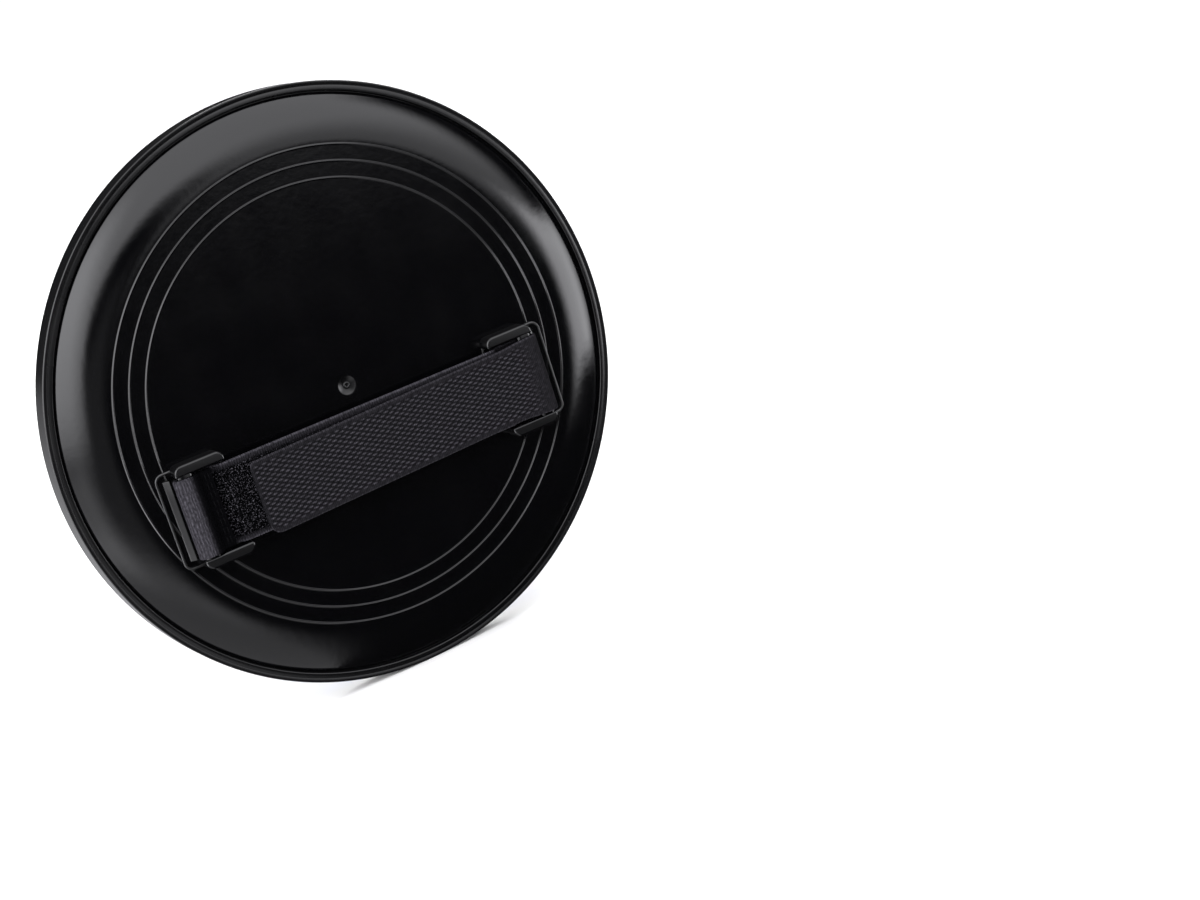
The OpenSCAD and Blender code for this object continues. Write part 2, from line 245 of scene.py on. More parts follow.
for bar_x in KEEPER_X:
    side = np.sign(bar_x)
    ends = sorted(bar_x + side * reach for reach in WINDOW_FROM_BAR)
    cutter = new_piece("window_cutter", *box_points(
        (ends[0], FLOOR_Y - CUT_PAST, STRAP_Z - WINDOW_HALF),
        (ends[1], CUT_PAST, STRAP_Z + WINDOW_HALF)), gloss_abs)
    cut = dish.modifiers.new("window", "BOOLEAN")
    cut.object = cutter
    cut.solver = "EXACT"
    finished = bpy.data.meshes.new_from_object(dish.evaluated_get(bpy.context.evaluated_depsgraph_get()))
    dish.modifiers.clear()
    dish.data = finished
    bpy.data.objects.remove(cutter)
finished.set_sharp_from_angle(angle=np.radians(SHARP_TURN))
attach(dish, "paddle")
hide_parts("shell")

# The two strap keepers, in the same moulding: a low bead round each keeper, two broad ears, the bar between
# them that the strap turns round, and a sill at the window's outer end, which slopes down outwards. All their
# edges are rounded.
FRAME_HALF = (11.05, 16.0)
FRAME_FROM_BAR = -2.55
FRAME_W = 0.9
FRAME_H = 0.7
FRAME_R = 2.8
FRAME_EDGES = (0.05, 0.05, 0.4, 0.4)
EAR_FROM_BAR = -5.25
EAR_HALF = 8.35
EAR_H = 6.0
EAR_R = 2.6
EAR_T = 3.5
EAR_MIDDLE = 15.35
EAR_EDGE = 0.65
BAR_HALF = (2.5, 1.3)
BAR_ROUND = 1.29
BAR_Y = 4.6
SILL_FROM_BAR = 4.9
SILL_T = 1.4
SILL_H = 1.8
SILL_RIDGE = np.array([[0.0, -0.1], [0.1, 0.0], [0.28, -0.04]])
SILL_TOE = 0.1
SILL_SPREAD = 0.5
END_EDGE = 0.1
ROOT_Y = -1.1
SLACK = 0.01
UPRIGHT_BELOW = 0.1
UPWARD_ABOVE = 0.2


def rounded_outline(low, high, radii, steps=7):
    """A rectangle's outline, anticlockwise from low x and low y, with its own radius at each corner."""
    corners = [(low[0], low[1], 1, 1, 180), (high[0], low[1], -1, 1, 270),
               (high[0], high[1], -1, -1, 0), (low[0], high[1], 1, -1, 90)]
    return np.concatenate([
        arc(x + way_x * r, y + way_y * r, r, start, start + 90, steps)
        for (x, y, way_x, way_y, start), r in zip(corners, radii)])


def outward(outline):
    """Unit normals of a closed anticlockwise outline, from the chord between each point's neighbours."""
    chord = np.roll(outline, -1, axis=0) - np.roll(outline, 1, axis=0)
    normal = np.column_stack([chord[:, 1], -chord[:, 0]])
    return normal / np.linalg.norm(normal, axis=1, keepdims=True)


def end_caps(rows, count):
    """The first and the last row of a grid as two faces, with the first one turned round."""
    return [list(range(count))[::-1], list(range((rows - 1) * count, rows * count))]


def rounded_slab(outline, thickness, edge, steps=5):
    """A slab of an outline's shape: its points step in along a quarter circle towards each of its faces."""
    bend = np.radians(np.linspace(0, 90, steps))
    inset = np.concatenate([edge * (1 - np.sin(bend)), edge * (1 - np.sin(bend))[::-1]])
    depth = thickness / 2 - edge * (1 - np.cos(bend))
    depth = np.concatenate([-depth, depth[::-1]])
    flat = outline[None] - outward(outline)[None] * inset[:, None, None]
    points = np.concatenate([flat, np.broadcast_to(depth[:, None, None], (*flat.shape[:2], 1))], axis=-1)
    faces = grid_faces(len(inset), len(outline), close_columns=True).tolist()
    return points.reshape(-1, 3), faces + end_caps(len(inset), len(outline))


def ring_of(outline, section):
    """Carries a section of (outward, up) points round a closed outline, as a ring of (x, up, z) points."""
    normal = outward(outline)
    flat = outline[:, None] + normal[:, None] * section[None, :, :1]
    up = np.broadcast_to(section[None, :, 1], flat.shape[:2])
    points = np.stack([flat[..., 0], up, flat[..., 1]], axis=-1)
    return points.reshape(-1, 3), grid_faces(len(outline), len(section), True, True).tolist()


def joined(*parts):
    """Several (points, faces) pairs as one pair."""
    starts = np.cumsum([0] + [len(points) for points, faces in parts])
    faces = [[corner + start for corner in face]
             for (points, part), start in zip(parts, starts) for face in part]
    return np.concatenate([points for points, faces in parts]), faces


def grained(name, grain_mm, detail, strength, depth, **sockets):
    """A plain material whose relief is an even noise of one grain size."""
    made, tree, shader = new_material(name, **sockets)
    place = add(tree, "ShaderNodeTexCoord", {}).outputs["Object"]
    grain = add(tree, "ShaderNodeTexNoise", {"Vector": place, "Scale": 1 / (grain_mm * MM), "Detail": detail})
    relief = add(tree, "ShaderNodeBump", {"Height": grain.outputs["Fac"], "Strength": strength,
                                          "Distance": depth})
    tree.links.new(relief.outputs["Normal"], shader.inputs["Normal"])
    return made


# Black ABS from worked parts of the mould, each with a grain that is drawn coarser than real so that it
# shows: a blasted part spreads the light, so the ears' flat tops look grey; a textured part is dull, so the
# ears' sides stay dark. The third finish is a painted highlight: the bead's upward faces are painted paler,
# with a stronger specular.
GRAIN_MM = 0.5
worked_abs = [
    grained(name, GRAIN_MM, detail=2.0, strength=0.2, depth=0.0001,
            Base_Color=linear(code), Roughness=roughness, Specular_IOR_Level=level)
    for name, code, roughness, level in (
        ("satin_black_abs", "#060607", 0.36, 0.36),
        ("matt_black_abs", "#040405", 0.7, 0.08),
        ("black_abs_painted_highlight", "#0e0e0f", 0.36, 0.9))]

keeper_parts = []
for bar_x in KEEPER_X:
    side = np.sign(bar_x)
    middle = np.array([bar_x + side * FRAME_FROM_BAR, STRAP_Z])
    half = np.array(FRAME_HALF) - FRAME_W / 2
    path = rounded_outline(middle - half, middle + half, [FRAME_R - FRAME_W / 2] * 4)
    bead = rounded_outline((-FRAME_W / 2, ROOT_Y), (FRAME_W / 2, FRAME_H), FRAME_EDGES)
    keeper_parts.append(ring_of(path, bead))
    for ear_side in (-1, 1):
        middle = np.array([bar_x + side * EAR_FROM_BAR, STRAP_Z + ear_side * EAR_MIDDLE])
        half = np.array([EAR_HALF, EAR_T / 2])
        radii = (EAR_R, EAR_R, EAR_EDGE, EAR_EDGE)[::-ear_side]
        points, faces = rounded_slab(
            rounded_outline(middle - half, middle + half, radii), EAR_H - ROOT_Y, EAR_EDGE)
        points = points[:, [0, 2, 1]] + [0, (EAR_H + ROOT_Y) / 2, 0]
        keeper_parts.append((points, [face[::-1] for face in faces]))
    middle, half = np.array([bar_x, BAR_Y]), np.array(BAR_HALF)
    bar = rounded_outline(middle - half, middle + half, [BAR_ROUND] * 4)
    foot = SILL_T / 2 + SILL_SPREAD
    sill = np.concatenate([
        [[foot, ROOT_Y], [-SILL_T / 2, ROOT_Y]],
        SILL_RIDGE + [-SILL_T / 2, SILL_H],
        [[foot, SILL_TOE]]])
    sill = (sill * [side, 1] + [bar_x + side * SILL_FROM_BAR, 0])[::int(-side)]
    for outline, length in ((bar, 2 * EAR_MIDDLE), (sill, 2 * WINDOW_HALF)):
        points, faces = rounded_slab(outline, length, END_EDGE)
        keeper_parts.append((points + [0, 0, STRAP_Z], faces))
keepers = new_piece("strap_keepers", *joined(*keeper_parts), gloss_abs)
for finish in worked_abs:
    keepers.data.materials.append(finish)
middles = np.empty(3 * len(keepers.data.polygons))
normals = np.empty_like(middles)
keepers.data.polygons.foreach_get("center", middles)
keepers.data.polygons.foreach_get("normal", normals)
face_y, face_z = middles[1::3] / MM, middles[2::3] / MM
upward = normals[1::3]
on_ear_top = face_y > EAR_H - SLACK
on_ear_side = (np.abs(upward) < UPRIGHT_BELOW) & (np.abs(face_z - STRAP_Z) > FRAME_HALF[1])
# Painted highlight: the bead's upward faces take the paler finish.
on_bead = (np.abs(face_y - FRAME_H / 2) < FRAME_H / 2 + SLACK) & (upward > UPWARD_ABOVE)
finish_number = np.select([on_ear_top, on_ear_side, on_bead], [1, 2, 3], 0).astype(np.int32)
keepers.data.polygons.foreach_set("material_index", finish_number)
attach(keepers, "paddle")

# The adhesive film that holds each hook panel: black acrylic, seen only down the strap's windows and at the
# panels' edges, with a slightly uneven coat. The solids are right as they are.
FILM_GRAIN_MM = 0.8
film_acrylic = grained("black_acrylic_film", FILM_GRAIN_MM, detail=3.0, strength=0.3, depth=0.0003,
                       Base_Color=linear("#141416"), Roughness=0.5)
for name in ("film_upper", "film_lower"):
    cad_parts[name].data.materials.clear()
    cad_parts[name].data.materials.append(film_acrylic)

# The hook panels: woven nylon hook tape, an orange half above and a blue half below, die cut to the floor and
# glued down. Each is a ribbed ground cloth with rows of cut hooks; the blue selvage laps over the orange one.
PANEL_R = 78.5
PANEL_TOP = 78.48
GROUND_T = 0.7
GROUND_Y = -3.2
LAP_EDGE = 4.0
LAP_FOOT = 1.0
LAP_LIFT = 0.8
LAP_RUN = 3.5
BARE_SELVAGE = (0.4, 4.5)
RIB_H = 0.07
ROW_PITCH = 1.9
ROW_LEAN = 0.05
ROW_SWAY = 0.35
ROW_SWAY_MM = 13
HOOK_PITCH = 0.95
HOOK_COLUMNS = 42
HOOK_SCATTER = (0.16, 0.18)
HOOK_MARGIN = 0.5
HOOK_TWIST = 0.5
HOOK_H = 0.98
HOOK_WIRE_R = 0.12
HOOK_ARCH = HOOK_H * np.array([[0, -0.1], [0.02, 0.5], [0.1, 0.86], [0.3, 0.98], [0.47, 0.86], [0.5, 0.66]])
CLOTH_GRID = (60, 420)
random = np.random.default_rng(7)


def smooth_step(value, start, end):
    """0 before start, 1 after end, and an even S between them."""
    share = np.clip((value - start) / (end - start), 0, 1)
    return share * share * (3 - 2 * share)


def row_sway(z):
    """How far the hook rows stray sideways at a height: a lean and a slow wave, as woven tape has."""
    return ROW_LEAN * z + ROW_SWAY * np.sin(z / ROW_SWAY_MM)


def no_lift(z):
    """The upper panel's cloth lies flat at every height."""
    return 0 * z


def lap_lift(z):
    """Rise of the lower panel's cloth where its selvage climbs over the upper panel's, as a smooth step."""
    return LAP_LIFT * smooth_step(z, LAP_FOOT - LAP_RUN, LAP_FOOT)


def ground_cloth(low, high, lift):
    """A half disc of cloth between two heights, as a front and a back grid with a wall round them. Ribs run
    under the hook rows as a cosine wave, and the cloth lifts to lap. Gives its points, its faces and how
    deep each point lies."""
    bottom, top = np.arcsin(low / PANEL_R), np.arcsin(high / PANEL_R)
    height = PANEL_R * np.sin(np.linspace(bottom, top, CLOTH_GRID[0]))
    across = np.linspace(-1, 1, CLOTH_GRID[1])
    z = np.broadcast_to(height[:, None], CLOTH_GRID)
    x = across * np.sqrt(PANEL_R ** 2 - height ** 2)[:, None]
    depth = np.cos(2 * np.pi * (x - row_sway(z)) / ROW_PITCH) * (1 - lift(z) / LAP_LIFT)
    front = np.stack([x, GROUND_Y - lift(z) + RIB_H * depth, z], axis=-1).reshape(-1, 3)
    back = np.stack([x, GROUND_Y - lift(z) + GROUND_T, z], axis=-1).reshape(-1, 3)
    number = np.arange(len(front)).reshape(CLOTH_GRID)
    edge = np.concatenate([number[0], number[1:, -1], number[-1, -2::-1], number[-2:0:-1, 0]])
    following = np.roll(edge, -1)
    wall = np.column_stack([following, edge, edge + len(front), following + len(front)])
    grid = grid_faces(*CLOTH_GRID)
    faces = np.concatenate([grid, grid[:, ::-1] + len(front), wall])
    return np.concatenate([front, back]), faces.tolist(), np.tile(0.5 + 0.5 * depth.ravel(), 2)


def filaments(feet, lean, rise, arch, radius, sides=3):
    """Thin tubes that follow an arch of (lean, rise) steps from each foot; lean and rise are unit vectors."""
    way = np.gradient(arch, axis=0)
    way /= np.linalg.norm(way, axis=1, keepdims=True)
    turn = np.arange(sides) * 2 * np.pi / sides
    across = np.cross(lean, rise)
    middle = feet[:, None] + arch[None, :, :1] * lean[:, None] + arch[None, :, 1:] * rise[:, None]
    normal = way[None, :, 1:] * lean[:, None] - way[None, :, :1] * rise[:, None]
    ring = np.cos(turn)[:, None] * normal[:, :, None] + np.sin(turn)[:, None] * across[:, None, None]
    points = middle[:, :, None] + radius * ring
    one = grid_faces(len(arch), sides, close_columns=True)
    starts = np.arange(len(feet)) * len(arch) * sides
    return points.reshape(-1, 3), (one[None] + starts[:, None, None]).reshape(-1, 4).tolist()


def hook_feet(low, high):
    """Feet of the hooks inside the half disc: rows along Z that sway with the cloth, a little scattered."""
    column = np.arange(-HOOK_COLUMNS, HOOK_COLUMNS + 1) * ROW_PITCH + ROW_PITCH / 2
    x, z = np.meshgrid(column, np.arange(low, high, HOOK_PITCH), indexing="ij")
    z = z + random.uniform(-HOOK_SCATTER[1], HOOK_SCATTER[1], z.shape)
    x = x + row_sway(z) + random.uniform(-HOOK_SCATTER[0], HOOK_SCATTER[0], x.shape)
    inside = (np.hypot(x, z) < PANEL_R - HOOK_MARGIN) & (z > low) & (z < high)
    return x[inside], z[inside]


def blotched_nylon(name, blotch_mm, dark, pale, **sockets):
    """Nylon monofilament whose colour drifts between two tones in soft blotches."""
    made, tree, shader = new_material(name, **sockets)
    place = add(tree, "ShaderNodeTexCoord", {}).outputs["Object"]
    blotch = add(tree, "ShaderNodeTexNoise", {"Vector": place, "Scale": 1 / (blotch_mm * MM), "Detail": 3.0})
    colour = add(tree, "ShaderNodeMix", {0: blotch.outputs["Fac"], 6: linear(dark), 7: linear(pale)},
                 data_type="RGBA")
    tree.links.new(colour.outputs[2], shader.inputs["Base Color"])
    return made


# A wave texture of scale 1 repeats every 0.314 units.
WAVE_TURN = 0.314
GROUND_THREAD_MM = 0.8
GROUND_BLOTCH_MM = 2.5
HOOK_BLOTCH_MM = 4
SELVAGE_FADE = (0.2, 1.6)
for name, low, high, hook_low, hook_high, lift, ground_hex, blotch_and_trough_shade_hex, selvage_hex, hook_hex in (
        ("upper", LAP_FOOT, PANEL_TOP, BARE_SELVAGE[1], PANEL_TOP, no_lift,
         "#f0461a", "#c42f0c", "#f0461a", "#ff6a32"),
        ("lower", -PANEL_TOP, LAP_EDGE, -PANEL_TOP, BARE_SELVAGE[0], lap_lift,
         "#2f90d6", "#1a68b0", "#58a8e8", "#62baf4")):
    # Woven nylon ground: plain weave with a soft sheen, painted darker in the troughs between ribs as shade,
    # and paler on the blue selvage.
    cloth, tree, shader = new_material(f"{name}_panel_woven_nylon", Roughness=0.7, Sheen_Weight=0.2)
    place = add(tree, "ShaderNodeTexCoord", {}).outputs["Object"]
    height = add(tree, "ShaderNodeSeparateXYZ", {"Vector": place}).outputs["Z"]
    blotch = add(tree, "ShaderNodeTexNoise", {
        "Vector": place, "Scale": 1 / (GROUND_BLOTCH_MM * MM), "Detail": 6.0})
    woven = add(tree, "ShaderNodeMix", {0: blotch.outputs["Fac"], 6: linear(blotch_and_trough_shade_hex), 7: linear(ground_hex)},
                data_type="RGBA")
    edge = add(tree, "ShaderNodeMapRange", {"Value": height, "From Min": SELVAGE_FADE[0] * MM,
                                            "From Max": SELVAGE_FADE[1] * MM})
    deep = add(tree, "ShaderNodeAttribute", {}, attribute_name="depth").outputs["Fac"]
    # Painted shade: the troughs between the ribs are painted towards the darker tone by their depth.
    rows = add(tree, "ShaderNodeMix", {0: deep, 6: woven.outputs[2], 7: linear(blotch_and_trough_shade_hex)}, data_type="RGBA")
    colour = add(tree, "ShaderNodeMix", {0: edge.outputs["Result"] if name == "lower" else 0.0,
                                         6: rows.outputs[2], 7: linear(selvage_hex)}, data_type="RGBA")
    tree.links.new(colour.outputs[2], shader.inputs["Base Color"])
    weft = add(tree, "ShaderNodeTexWave", {"Vector": place, "Scale": WAVE_TURN / (GROUND_THREAD_MM * MM),
                                           "Distortion": 1.0}, bands_direction="Z")
    relief = add(tree, "ShaderNodeBump", {"Height": weft.outputs["Fac"], "Strength": 0.5, "Distance": 0.0003})
    tree.links.new(relief.outputs["Normal"], shader.inputs["Normal"])

    # Nylon monofilament hooks: smooth and a little glossy, paler than the cloth where the light catches them.
    hook_nylon = blotched_nylon(f"{name}_panel_hook_nylon", HOOK_BLOTCH_MM, ground_hex, hook_hex,
                                Roughness=0.45, Specular_IOR_Level=0.25)
    x, z = hook_feet(hook_low, hook_high)
    side = np.where(random.random(len(x)) < 0.5, -1.0, 1.0)
    turn = random.normal(0, HOOK_TWIST, len(x))
    lean = np.column_stack([side * np.cos(turn), np.zeros(len(x)), np.sin(turn)])
    feet = np.column_stack([x, GROUND_Y - lift(z), z])
    rise = np.broadcast_to([0.0, -1.0, 0.0], lean.shape)
    hooks = new_piece(f"{name}_hooks", *filaments(feet, lean, rise, HOOK_ARCH, HOOK_WIRE_R), hook_nylon,
                      crease=180)
    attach(hooks, "paddle")
    points, faces, depth = ground_cloth(low, high, lift)
    panel = new_piece(f"{name}_panel_cloth", points, faces, cloth)
    panel.data.attributes.new("depth", "FLOAT", "POINT").data.foreach_set("value", depth)
    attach(panel, "paddle")
    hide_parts(f"panel_{name}")

# The seam of the two panels: one run of pale polyester thread that waves along the blue selvage and holds the
# lap down. It is sewn through both panels before they are glued in.
SEAM_Z = 1.8
SEAM_Y = -4.05
SEAM_HALF = 75.4
SEAM_PITCH = 3.0
SEAM_SWING = (0.1, 0.45)
SEAM_POINTS = 500
THREAD_D = 0.6
PLY_MM = 0.5
PLY_SLANT = 0.6


def tube(path, radius, sides=8):
    """A tube round a path of points: each ring lies across the path, turned from the direction -Y."""
    way = np.gradient(path, axis=0)
    way /= np.linalg.norm(way, axis=1, keepdims=True)
    across = np.cross(way, [0.0, -1.0, 0.0])
    across /= np.linalg.norm(across, axis=1, keepdims=True)
    normal = np.cross(across, way)
    turn = np.arange(sides) * 2 * np.pi / sides
    ring = np.cos(turn)[:, None] * across[:, None] + np.sin(turn)[:, None] * normal[:, None]
    points = path[:, None] + radius * ring
    faces = grid_faces(len(path), sides, close_columns=True).tolist() + end_caps(len(path), sides)
    return points.reshape(-1, 3), [face[::-1] for face in faces]


def plied_thread(name, slant, bands, dark, pale, **sockets):
    """Twisted thread: its plies are slanting bands of two tones across the way that it runs."""
    made, tree, shader = new_material(name, **sockets)
    place = add(tree, "ShaderNodeTexCoord", {}).outputs["Object"]
    slanting = add(tree, "ShaderNodeMapping", {"Vector": place, "Rotation": slant})
    ply = add(tree, "ShaderNodeTexWave", {"Vector": slanting.outputs["Vector"],
                                          "Scale": WAVE_TURN / (PLY_MM * MM)}, bands_direction=bands)
    colour = add(tree, "ShaderNodeMix", {0: ply.outputs["Fac"], 6: linear(dark), 7: linear(pale)},
                 data_type="RGBA")
    tree.links.new(colour.outputs[2], shader.inputs["Base Color"])
    return made


# Twisted polyester sewing thread: slightly shiny, with its two plies as slanting bands.
seam_thread = plied_thread("pale_blue_polyester_thread", (0.0, PLY_SLANT, 0.0), "X", "#6cb0e6", "#b2d8f4",
                           Roughness=0.45, Sheen_Weight=0.2)
along = np.linspace(-SEAM_HALF, SEAM_HALF, SEAM_POINTS)
phase = 2 * np.pi * along / SEAM_PITCH
seam_path = np.column_stack([along, SEAM_Y + SEAM_SWING[0] * np.cos(2 * phase),
                             SEAM_Z + SEAM_SWING[1] * np.sin(phase)])
seam = new_piece("seam_thread", *tube(seam_path, THREAD_D / 2), seam_thread)
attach(seam, "paddle")
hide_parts("seam_stitches")

# The loop tape of the hand strap: black woven nylon with a brushed loop pile on its outer face. Its end goes
# round one bar and is sewn down as a flap; it crosses the hand, dips under the other bar and ends there.
TAPE_W = 26.0
TAPE_BACK = -0.8
TAPE_FACE = 0.45
TAPE_EDGE = 0.5
FLAP_X = (52.5, 56.1)
FLAP_Y = 4.05
FLAP_BEND_R = 1.4
FLAP_BEND_TURN = 76.34
BAR_END = (62.0, 59.6)
WRAP_R = 2.2
UNDER_Y = 2.4
SPAN_Y = 5.1
DIP_X = 52.45
DIP_R = 3.0
DIP_TURN = 56.63
TAPE_END_X = -58.5
PATH_STEP = 0.3
ROLL_X = (58.8, 61.2)
ROLL_END = 20.0
ROLL_PAINTED_LIGHT = 0.5
FLAP_PAINTED_SHADOW = 0.02
BACK_PALENESS = 0.4
# Paleness of the tape's face by distance from its edge: a painted highlight on the very edge, the paler bare
# selvage, then a painted shadow where the tab's edge overhangs, and the dark ground under the pile.
SELVAGE_FROM_EDGE = np.array([0.3, 0.8, 1.6, 2.2, 2.7])
SELVAGE_PALENESS_AND_PAINTED_LIGHT = np.array([0.6, 0.2, 0.14, 0.06, 0.08])


def even_path(points, step):
    """Points at even distances along a line of straight runs."""
    length = np.concatenate([[0], np.cumsum(np.linalg.norm(np.diff(points, axis=0), axis=1))])
    at = np.linspace(0, length[-1], int(length[-1] / step) + 1)
    return np.column_stack([np.interp(at, length, points[:, 0]), np.interp(at, length, points[:, 1])]), at


def side_normals(path):
    """Unit normals on the left of the way that a path runs."""
    way = np.gradient(path, axis=0)
    return np.column_stack([-way[:, 1], way[:, 0]]) / np.linalg.norm(way, axis=1, keepdims=True)


def give_uv(piece, u, v):
    """A UV map in metres from each point's distance along and across the tape, in millimetres."""
    layer = piece.data.uv_layers.new(name="tape")
    corner = np.empty(len(piece.data.loops), int)
    piece.data.loops.foreach_get("vertex_index", corner)
    layer.data.foreach_set("uv", (np.column_stack([u, v])[corner] * MM).ravel())


# Woven nylon tape: fine ribs across the tape, uneven and dull, black under the pile, and paler on the bare
# selvages, with a painted highlight along their very edge and a painted shadow under the tab's edge. Round
# the bar the back is painted paler on its outer side, towards the light, and near black towards the flap, as
# painted shadow in the trough under the roll.
WEFT_MM = 0.8
SLUB_MM = 0.4
tape_nylon, tree, shader = new_material("black_woven_nylon_tape", Roughness=0.7, Specular_IOR_Level=0.02)
lay = add(tree, "ShaderNodeUVMap", {}, uv_map="tape").outputs["UV"]
weft = add(tree, "ShaderNodeTexWave", {"Vector": lay, "Scale": WAVE_TURN / (WEFT_MM * MM), "Distortion": 2.0,
                                       "Detail": 2.0})
drawn = add(tree, "ShaderNodeMapping", {"Vector": lay, "Scale": (1.0, 0.3, 1.0)}).outputs["Vector"]
slub = add(tree, "ShaderNodeTexNoise", {"Vector": drawn, "Scale": 1 / (SLUB_MM * MM), "Detail": 3.0})
slub = add(tree, "ShaderNodeMapRange", {"Value": slub.outputs["Fac"], "From Min": 0.3, "From Max": 0.7})
weft = add(tree, "ShaderNodeMapRange", {"Value": weft.outputs["Fac"], "To Min": 0.35})
threads = add(tree, "ShaderNodeMath", {0: weft.outputs["Result"], 1: slub.outputs["Result"]},
              operation="MULTIPLY")
paleness_with_painted_light = add(tree, "ShaderNodeAttribute", {}, attribute_name="paleness").outputs["Fac"]
pale = add(tree, "ShaderNodeMapRange", {"Value": threads.outputs["Value"], "To Min": 0.3, "To Max": 1.9})
pale = add(tree, "ShaderNodeMath", {0: paleness_with_painted_light, 1: pale.outputs["Result"]}, operation="MULTIPLY")
colour = add(tree, "ShaderNodeMix", {0: pale.outputs["Value"], 6: linear("#020203"), 7: linear("#4f4d53")},
             data_type="RGBA")
tree.links.new(colour.outputs[2], shader.inputs["Base Color"])
relief = add(tree, "ShaderNodeBump", {"Height": threads.outputs["Value"], "Strength": 0.8,
                                      "Distance": 0.0003})
tree.links.new(relief.outputs["Normal"], shader.inputs["Normal"])

dip = np.concatenate([
    arc(DIP_X, UNDER_Y + DIP_R, DIP_R, -90, -90 - DIP_TURN),
    arc(DIP_X - 2 * DIP_R * np.sin(np.radians(DIP_TURN)), SPAN_Y - DIP_R, DIP_R, 90 - DIP_TURN, 90)])
tape_line = np.concatenate([
    [[FLAP_X[0], FLAP_Y]],
    arc(FLAP_X[1], FLAP_Y + FLAP_BEND_R, FLAP_BEND_R, -90, FLAP_BEND_TURN - 90),
    arc(BAR_END[1], BAR_Y, WRAP_R, 90 + FLAP_BEND_TURN, 90),
    arc(BAR_END[0], BAR_Y, WRAP_R, 90, -90, 16),
    dip,
    dip[::-1] * [-1, 1],
    [[TAPE_END_X, UNDER_Y]]])
tape_path, tape_at = even_path(tape_line, PATH_STEP)
tape_left = side_normals(tape_path)
tape_section = rounded_outline((-TAPE_W / 2, -TAPE_FACE), (TAPE_W / 2, -TAPE_BACK), [TAPE_EDGE] * 4)
first_side, other_sides = np.split(tape_section, [len(tape_section) // 4])
on_face = TAPE_W / 2 - SELVAGE_FROM_EDGE[1:]
on_face = np.concatenate([-on_face, on_face[::-1]])
on_face = np.column_stack([on_face, np.full(len(on_face), -TAPE_FACE)])
tape_section = np.concatenate([first_side, on_face, other_sides])
flat = tape_path[:, None] + tape_left[:, None] * tape_section[None, :, 1:]
wide = np.broadcast_to(STRAP_Z + tape_section[None, :, 0], flat.shape[:2])
tape_points = np.stack([flat[..., 0], flat[..., 1], wide], axis=-1).reshape(-1, 3)
count = len(tape_section)
tape_faces = grid_faces(len(tape_path), count, close_columns=True).tolist()
tape_faces += end_caps(len(tape_path), count)
loop_tape = new_piece("loop_tape", tape_points, tape_faces, tape_nylon)
give_uv(loop_tape, np.repeat(tape_at, count), np.tile(tape_section[:, 0], len(tape_path)))
# Painted shadow: the flap and the roll's inner side are near black; painted light: the roll's outer side is
# paler.
before_span = tape_at < ROLL_END
roll_painted_light = (smooth_step(tape_path[:, 0], ROLL_X[0], ROLL_X[1]) * before_span)[:, None]
from_edge = TAPE_W / 2 - np.abs(tape_section[:, 0])
face_paleness = np.interp(from_edge, SELVAGE_FROM_EDGE, SELVAGE_PALENESS_AND_PAINTED_LIGHT)
plain = np.where(tape_section[:, 1] > 0, BACK_PALENESS, face_paleness)[None, :]
paleness = np.where(before_span, FLAP_PAINTED_SHADOW, 1.0)[:, None] * plain
paleness = paleness + roll_painted_light * (ROLL_PAINTED_LIGHT - FLAP_PAINTED_SHADOW * plain)
loop_tape.data.attributes.new("paleness", "FLOAT", "POINT").data.foreach_set("value", paleness.ravel())
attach(loop_tape, "paddle")
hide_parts("loop_strap")

# The pile on the loop tape: thousands of fine nylon loops, brushed every way, drawn coarser than real ones so
# that they show, and thinner under the tab, which presses them flat. The tape's selvages stay bare.
PILE_COUNT = (6000, 4500)
PILE_X = (-56.0, 51.8)
PILE_BARE_X = 39.5
PILE_SELVAGE = 2.2
PILE_ARCH = np.array([[-0.4, -0.1], [-0.28, 0.32], [0.28, 0.36], [0.4, -0.1]])
PILE_WIRE_R = 0.09

# Brushed nylon loops: dull black, with paler specks where a loop turns to the light.
SPECK_MM = 0.5
pile_nylon, tree, shader = new_material("black_nylon_loop_pile", Roughness=0.7, Specular_IOR_Level=0.02)
place = add(tree, "ShaderNodeTexCoord", {}).outputs["Object"]
speck = add(tree, "ShaderNodeTexNoise", {"Vector": place, "Scale": 1 / (SPECK_MM * MM), "Detail": 2.0})
pale = add(tree, "ShaderNodeMapRange", {"Value": speck.outputs["Fac"], "From Min": 0.54, "From Max": 0.74})
colour = add(tree, "ShaderNodeMix", {0: pale.outputs["Result"], 6: linear("#020203"), 7: linear("#58565c")},
             data_type="RGBA")
tree.links.new(colour.outputs[2], shader.inputs["Base Color"])
on_span = (tape_path[:, 0] > PILE_X[0]) & (tape_path[:, 0] < PILE_X[1]) & (tape_at > ROLL_END)
pressed = tape_path[:, 0] < PILE_BARE_X
at = np.concatenate([random.choice(np.flatnonzero(on_span & pressed), PILE_COUNT[0]),
                     random.choice(np.flatnonzero(on_span & ~pressed), PILE_COUNT[1])])
across = random.uniform(-1, 1, len(at)) * (TAPE_W / 2 - PILE_SELVAGE)
rise = np.column_stack([-tape_left[at], np.zeros(len(at))])
run = np.column_stack([tape_left[at][:, 1], -tape_left[at][:, 0], np.zeros(len(at))])
turn = random.uniform(0, 2 * np.pi, len(at))[:, None]
lean = np.cos(turn) * run + np.sin(turn) * [0.0, 0.0, 1.0]
feet = np.column_stack([tape_path[at], STRAP_Z + across]) + rise * TAPE_FACE
pile = new_piece("loop_pile", *filaments(feet, lean, rise, PILE_ARCH, PILE_WIRE_R), pile_nylon, crease=180)
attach(pile, "paddle")

